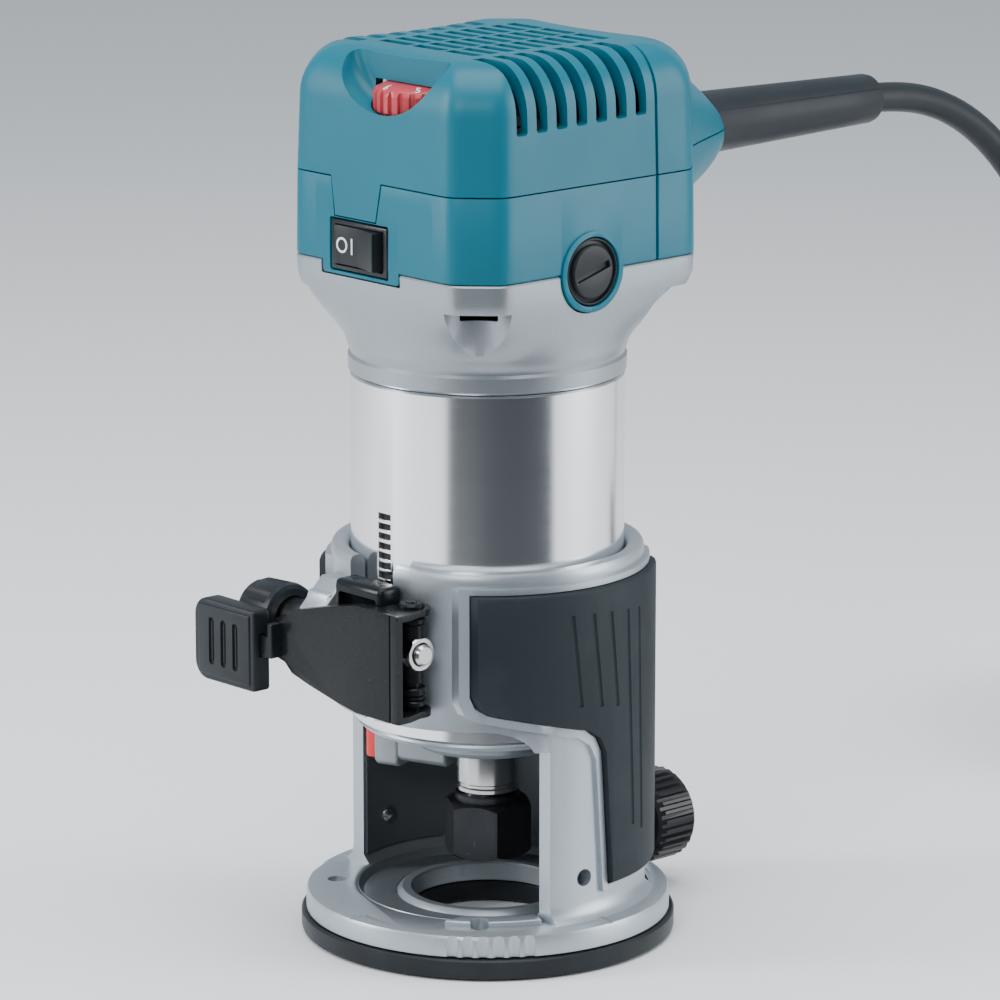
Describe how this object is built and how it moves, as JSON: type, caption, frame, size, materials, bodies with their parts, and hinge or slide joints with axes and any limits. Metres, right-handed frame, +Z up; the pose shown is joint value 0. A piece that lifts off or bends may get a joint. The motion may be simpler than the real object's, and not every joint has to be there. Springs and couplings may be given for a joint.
{
  "type": "trim router",
  "caption": "Compact trim router: a round motor slides in a fixed base with a lever clamp, with collet, speed dial, rocker switch and mains cord.",
  "frame": {"origin": "bottom centre of the tool's own box, on the underside of the sole; the spindle axis is parallel to Z, a little in front of it", "axes": "+Z up along the spindle, -Y the front with clamp and switch, +X the side of the lever's pivot"},
  "size_m": [0.1173, 0.3759, 0.215],
  "materials": {
    "casting": "fine silver paint on a die casting",
    "grey_casting": "plain grey casting",
    "polished_tube": "turned and polished",
    "teal_plastic": "fine moulded texture",
    "black_plastic": "moulded",
    "grip_rubber": "soft overmould",
    "cord_rubber": "rubber sheath",
    "black_steel": "black oxide and lacquer",
    "steel": "machined",
    "red_plastic": "moulded",
    "dial_red": "moulded",
    "copper": null,
    "brass": "plain",
    "carbon": null
  },
  "bodies": {
    "base": {"base_casting": "casting", "base_flange": "casting", "sole_plate": "black_plastic", "sole_screw_1": "steel", "sole_screw_2": "steel", "sole_screw_3": "steel", "sole_screw_4": "steel", "grip_right": "grip_rubber", "grip_left": "grip_rubber", "clamp_bolt": "steel", "clamp_nut": "steel", "lever_pin": "steel", "power_cord": "cord_rubber", "cord_coil": "cord_rubber", "cord_end": "cord_rubber", "plug_body": "black_plastic", "plug_pin_1": "brass", "plug_pin_2": "brass"},
    "lever": {"lever_arm": "black_steel", "lever_grip": "black_plastic"},
    "pinion": {"pinion_gear": "steel", "pinion_knob": "black_plastic"},
    "guide_screw": {"guide_thumb_screw": "black_plastic"},
    "motor_unit": {"motor_tube": "polished_tube", "head_collar": "casting", "head_shell": "teal_plastic", "top_cover": "teal_plastic", "nose_housing": "casting", "nose_cap": "grey_casting", "field_core": "steel", "field_coil_upper": "copper", "field_coil_lower": "copper", "baffle_plate": "black_plastic", "lower_bearing": "steel", "upper_bearing": "steel", "bearing_bridge": "black_plastic", "brush_holder_right": "brass", "brush_holder_left": "brass", "carbon_brush_right": "carbon", "carbon_brush_left": "carbon", "brush_cap_right": "black_plastic", "brush_cap_left": "black_plastic", "brush_spring_right": "steel", "brush_spring_left": "steel", "switch_body": "black_plastic", "speed_controller": "black_plastic", "cord_clamp": "black_plastic", "cord_guard": "cord_rubber"},
    "rotor": {"armature_shaft": "steel", "armature_core": "steel", "commutator": "copper", "cooling_fan": "black_plastic", "collet_cone": "steel"},
    "nut": {"collet_nut": "black_steel"},
    "lock": {"lock_button": "red_plastic"},
    "rocker": {"switch_rocker": "black_plastic"},
    "dial": {"speed_dial": "dial_red"}
  },
  "joints": [
    {"name": "depth_slide", "type": "slide", "parent": "base", "child": "motor_unit", "axis": [0, 0, 1], "range_m": [-0.017, 0.014]},
    {"name": "pinion_spin", "type": "hinge", "parent": "base", "child": "pinion", "pos_m": [0.00075, -0.04735, 0.0778], "axis": [1, 0, 0], "range_deg": [-154, 127]},
    {"name": "lever_swing", "type": "hinge", "parent": "base", "child": "lever", "pos_m": [0.01725, -0.04735, 0.0778], "axis": [0, 0, 1], "range_deg": [0, 100]},
    {"name": "guide_screw_turn", "type": "hinge", "parent": "base", "child": "guide_screw", "pos_m": [0.00075, 0.04525, 0.0165], "axis": [0, 1, 0], "range_deg": [0, 720]},
    {"name": "spindle_spin", "type": "hinge", "parent": "motor_unit", "child": "rotor", "pos_m": [0.00075, -0.00875, 0.06], "axis": [0, 0, 1], "continuous": true},
    {"name": "collet_nut_turn", "type": "hinge", "parent": "rotor", "child": "nut", "pos_m": [0.00075, -0.00875, 0.027], "axis": [0, 0, 1], "range_deg": [0, 720]},
    {"name": "lock_press", "type": "slide", "parent": "motor_unit", "child": "lock", "axis": [0.9449, 0.3272, 0], "range_m": [0, 0.003], "stiffness_N_per_m": 600, "springref_m": -0.001},
    {"name": "switch_rock", "type": "hinge", "parent": "motor_unit", "child": "rocker", "pos_m": [-0.00375, -0.03975, 0.1696], "axis": [0, 0, 1], "range_deg": [0, 14]},
    {"name": "dial_turn", "type": "hinge", "parent": "motor_unit", "child": "dial", "pos_m": [0.00425, -0.03125, 0.2045], "axis": [0, 0, 1], "range_deg": [-250, 0]}
  ],
  "couplings": [
    {"joint": "pinion_spin", "follows": "depth_slide", "rad_per_m": 156.88}
  ]
}
